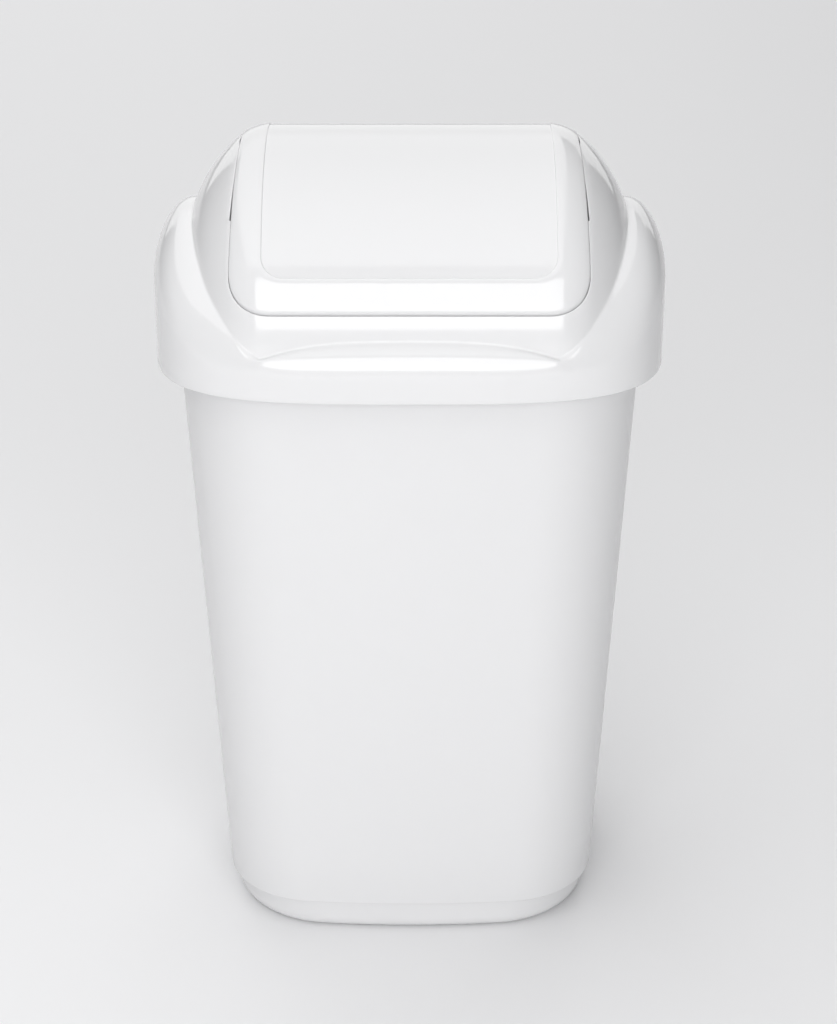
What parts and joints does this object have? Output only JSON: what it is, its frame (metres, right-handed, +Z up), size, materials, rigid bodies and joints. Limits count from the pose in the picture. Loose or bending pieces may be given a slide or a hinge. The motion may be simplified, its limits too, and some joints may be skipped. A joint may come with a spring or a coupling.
{
  "type": "swing lid countertop bin",
  "caption": "Small tapered plastic bin with a lift-off arched hood and a two-way swing flap that pivots near the top.",
  "frame": {"origin": "centre of the footprint on the worktop", "axes": "+Z up, -Y towards the user, X along the flap's pivot line"},
  "size_m": [0.2, 0.152, 0.3293],
  "materials": {
    "body_plastic": "gloss white polypropylene",
    "hood_plastic": "high gloss white",
    "flap_plastic": "high gloss white"
  },
  "bodies": {
    "bin": {"bin_body": "body_plastic"},
    "hood": {"hood": "hood_plastic"},
    "flap": {"swing_flap": "flap_plastic"}
  },
  "joints": [
    {"name": "hood_lift", "type": "slide", "parent": "bin", "child": "hood", "axis": [0, 0, 1], "range_m": [0, 0.1]},
    {"name": "flap_swing", "type": "hinge", "parent": "hood", "child": "flap", "pos_m": [0, 0, 0.3158], "axis": [1, 0, 0], "range_deg": [-80, 80]}
  ]
}
